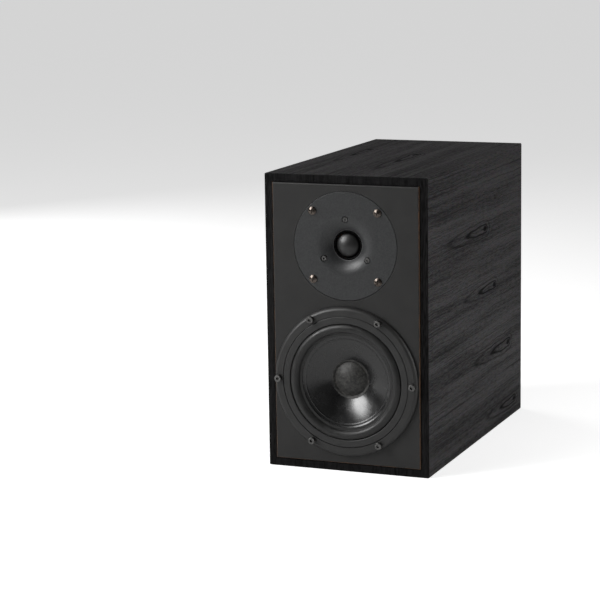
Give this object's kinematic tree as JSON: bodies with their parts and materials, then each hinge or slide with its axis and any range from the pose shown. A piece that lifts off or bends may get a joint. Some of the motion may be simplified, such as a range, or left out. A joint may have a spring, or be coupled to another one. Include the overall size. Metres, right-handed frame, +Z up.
{
  "type": "bookshelf speaker",
  "caption": "Rear-ported two-way bookshelf loudspeaker: wood-veneer box, inset front board with a flush dome tweeter and a proud cone woofer, screw terminals behind.",
  "frame": {"origin": "centre of the cabinet's flat underside", "axes": "+Z up; the drivers face -Y and the terminals face +Y; +X is to the right seen from the front"},
  "size_m": [0.172, 0.3529, 0.3],
  "materials": {
    "cabinet_veneer": "black-stained wood veneer, satin",
    "baffle_paint": "dark grey satin lacquer on board",
    "raw_board": "raw fibreboard",
    "felt": "grey felt",
    "wadding": "white fibre wadding",
    "foam_gasket": "closed-cell foam",
    "cast_frame": "satin black coated casting",
    "surround_rubber": "matt black rubber",
    "trim_plastic": "satin black plastic",
    "cone_poly": "glossy black polypropylene",
    "cap_cloth": "doped black cloth",
    "spider_cloth": "varnished cloth",
    "former": "polyimide film",
    "copper": "enamelled copper wire",
    "ferrite": "sintered ferrite",
    "zinc_steel": "zinc plated steel",
    "black_bolt": "black oxide steel",
    "nickel_screw": "nickel plated steel",
    "brass": "brass",
    "gold_plate": "gold plated brass",
    "tag_fibre": "pressed fibre board",
    "tweeter_plate": "fine textured black plastic",
    "dome_silk": "coated black silk",
    "cup_plastic": "black plastic",
    "port_plastic": "black plastic",
    "terminal_metal": "black coated steel",
    "post_red": "red plastic",
    "post_black": "black plastic",
    "circuit_board": "green circuit board",
    "pillar_plastic": "white nylon",
    "capacitor_film": "yellow film wrap",
    "resistor_ceramic": "white ceramic",
    "lead_sleeve": "plastic sleeved wire"
  },
  "bodies": {
    "cabinet": {"bottom_panel": "cabinet_veneer", "side_panel_right": "cabinet_veneer", "top_panel": "cabinet_veneer", "side_panel_left": "cabinet_veneer", "front_baffle": "baffle_paint", "back_panel": "cabinet_veneer", "window_brace": "raw_board", "damping_felt": "felt", "acoustic_wadding": "wadding", "woofer_gasket": "foam_gasket", "woofer_basket": "cast_frame", "woofer_surround": "surround_rubber", "woofer_trim_ring": "trim_plastic", "woofer_top_plate": "zinc_steel", "woofer_magnet": "ferrite", "woofer_yoke": "zinc_steel", "woofer_spider": "spider_cloth", "woofer_bolts": "black_bolt", "woofer_inserts": "brass", "woofer_tag_board": "tag_fibre", "woofer_terminals": "brass", "tweeter_faceplate": "tweeter_plate", "tweeter_surround": "dome_silk", "tweeter_top_plate": "zinc_steel", "tweeter_magnet": "ferrite", "tweeter_yoke": "zinc_steel", "tweeter_rear_cup": "cup_plastic", "tweeter_mounting_screws": "nickel_screw", "tweeter_assembly_screws": "black_bolt", "tweeter_terminals": "brass", "port_flange": "port_plastic", "port_tube": "port_plastic", "terminal_plate": "terminal_metal", "terminal_gasket": "foam_gasket", "terminal_plate_screws": "black_bolt", "binding_post_stems": "gold_plate", "binding_post_bushes": "cup_plastic", "binding_post_nuts": "gold_plate", "crossover_board": "circuit_board", "crossover_pillars": "pillar_plastic", "crossover_screws": "nickel_screw", "woofer_choke": "copper", "tweeter_choke": "copper", "crossover_capacitors": "capacitor_film", "crossover_resistors": "resistor_ceramic", "input_wires": "lead_sleeve", "woofer_wires": "lead_sleeve", "tweeter_wires": "lead_sleeve", "woofer_tinsel_leads": "copper"},
    "woofer_cone_assembly": {"woofer_cone": "cone_poly", "woofer_dust_cap": "cap_cloth", "woofer_coil_former": "former", "woofer_voice_coil": "copper"},
    "tweeter_dome_assembly": {"tweeter_dome": "dome_silk", "tweeter_voice_coil": "copper"},
    "washer_black": {"post_washer_black": "gold_plate"},
    "washer_red": {"post_washer_red": "gold_plate"},
    "knob_black": {"post_knob_black": "post_black"},
    "knob_red": {"post_knob_red": "post_red"}
  },
  "joints": [
    {"name": "woofer_cone_travel", "type": "slide", "parent": "cabinet", "child": "woofer_cone_assembly", "axis": [0, -1, 0], "range_m": [-0.004, 0.004], "stiffness_N_per_m": 1100, "deforming": ["woofer_surround", "woofer_spider", "woofer_tinsel_leads"]},
    {"name": "tweeter_dome_travel", "type": "slide", "parent": "cabinet", "child": "tweeter_dome_assembly", "axis": [0, -1, 0], "range_m": [-0.0004, 0.0004], "stiffness_N_per_m": 2500, "deforming": ["tweeter_surround"]},
    {"name": "post_black_lift", "type": "slide", "parent": "cabinet", "child": "washer_black", "axis": [0, 1, 0], "range_m": [0, 0.005]},
    {"name": "post_black_turn", "type": "hinge", "parent": "washer_black", "child": "knob_black", "pos_m": [-0.00953, 0.1664, 0.064], "axis": [0, 1, 0], "range_deg": [0, 1440]},
    {"name": "post_red_lift", "type": "slide", "parent": "cabinet", "child": "washer_red", "axis": [0, 1, 0], "range_m": [0, 0.005]},
    {"name": "post_red_turn", "type": "hinge", "parent": "washer_red", "child": "knob_red", "pos_m": [0.00953, 0.1664, 0.064], "axis": [0, 1, 0], "range_deg": [0, 1440]}
  ],
  "couplings": [
    {"joint": "post_black_turn", "follows": "post_black_lift", "rad_per_m": 5026.5},
    {"joint": "post_red_turn", "follows": "post_red_lift", "rad_per_m": 5026.5}
  ]
}
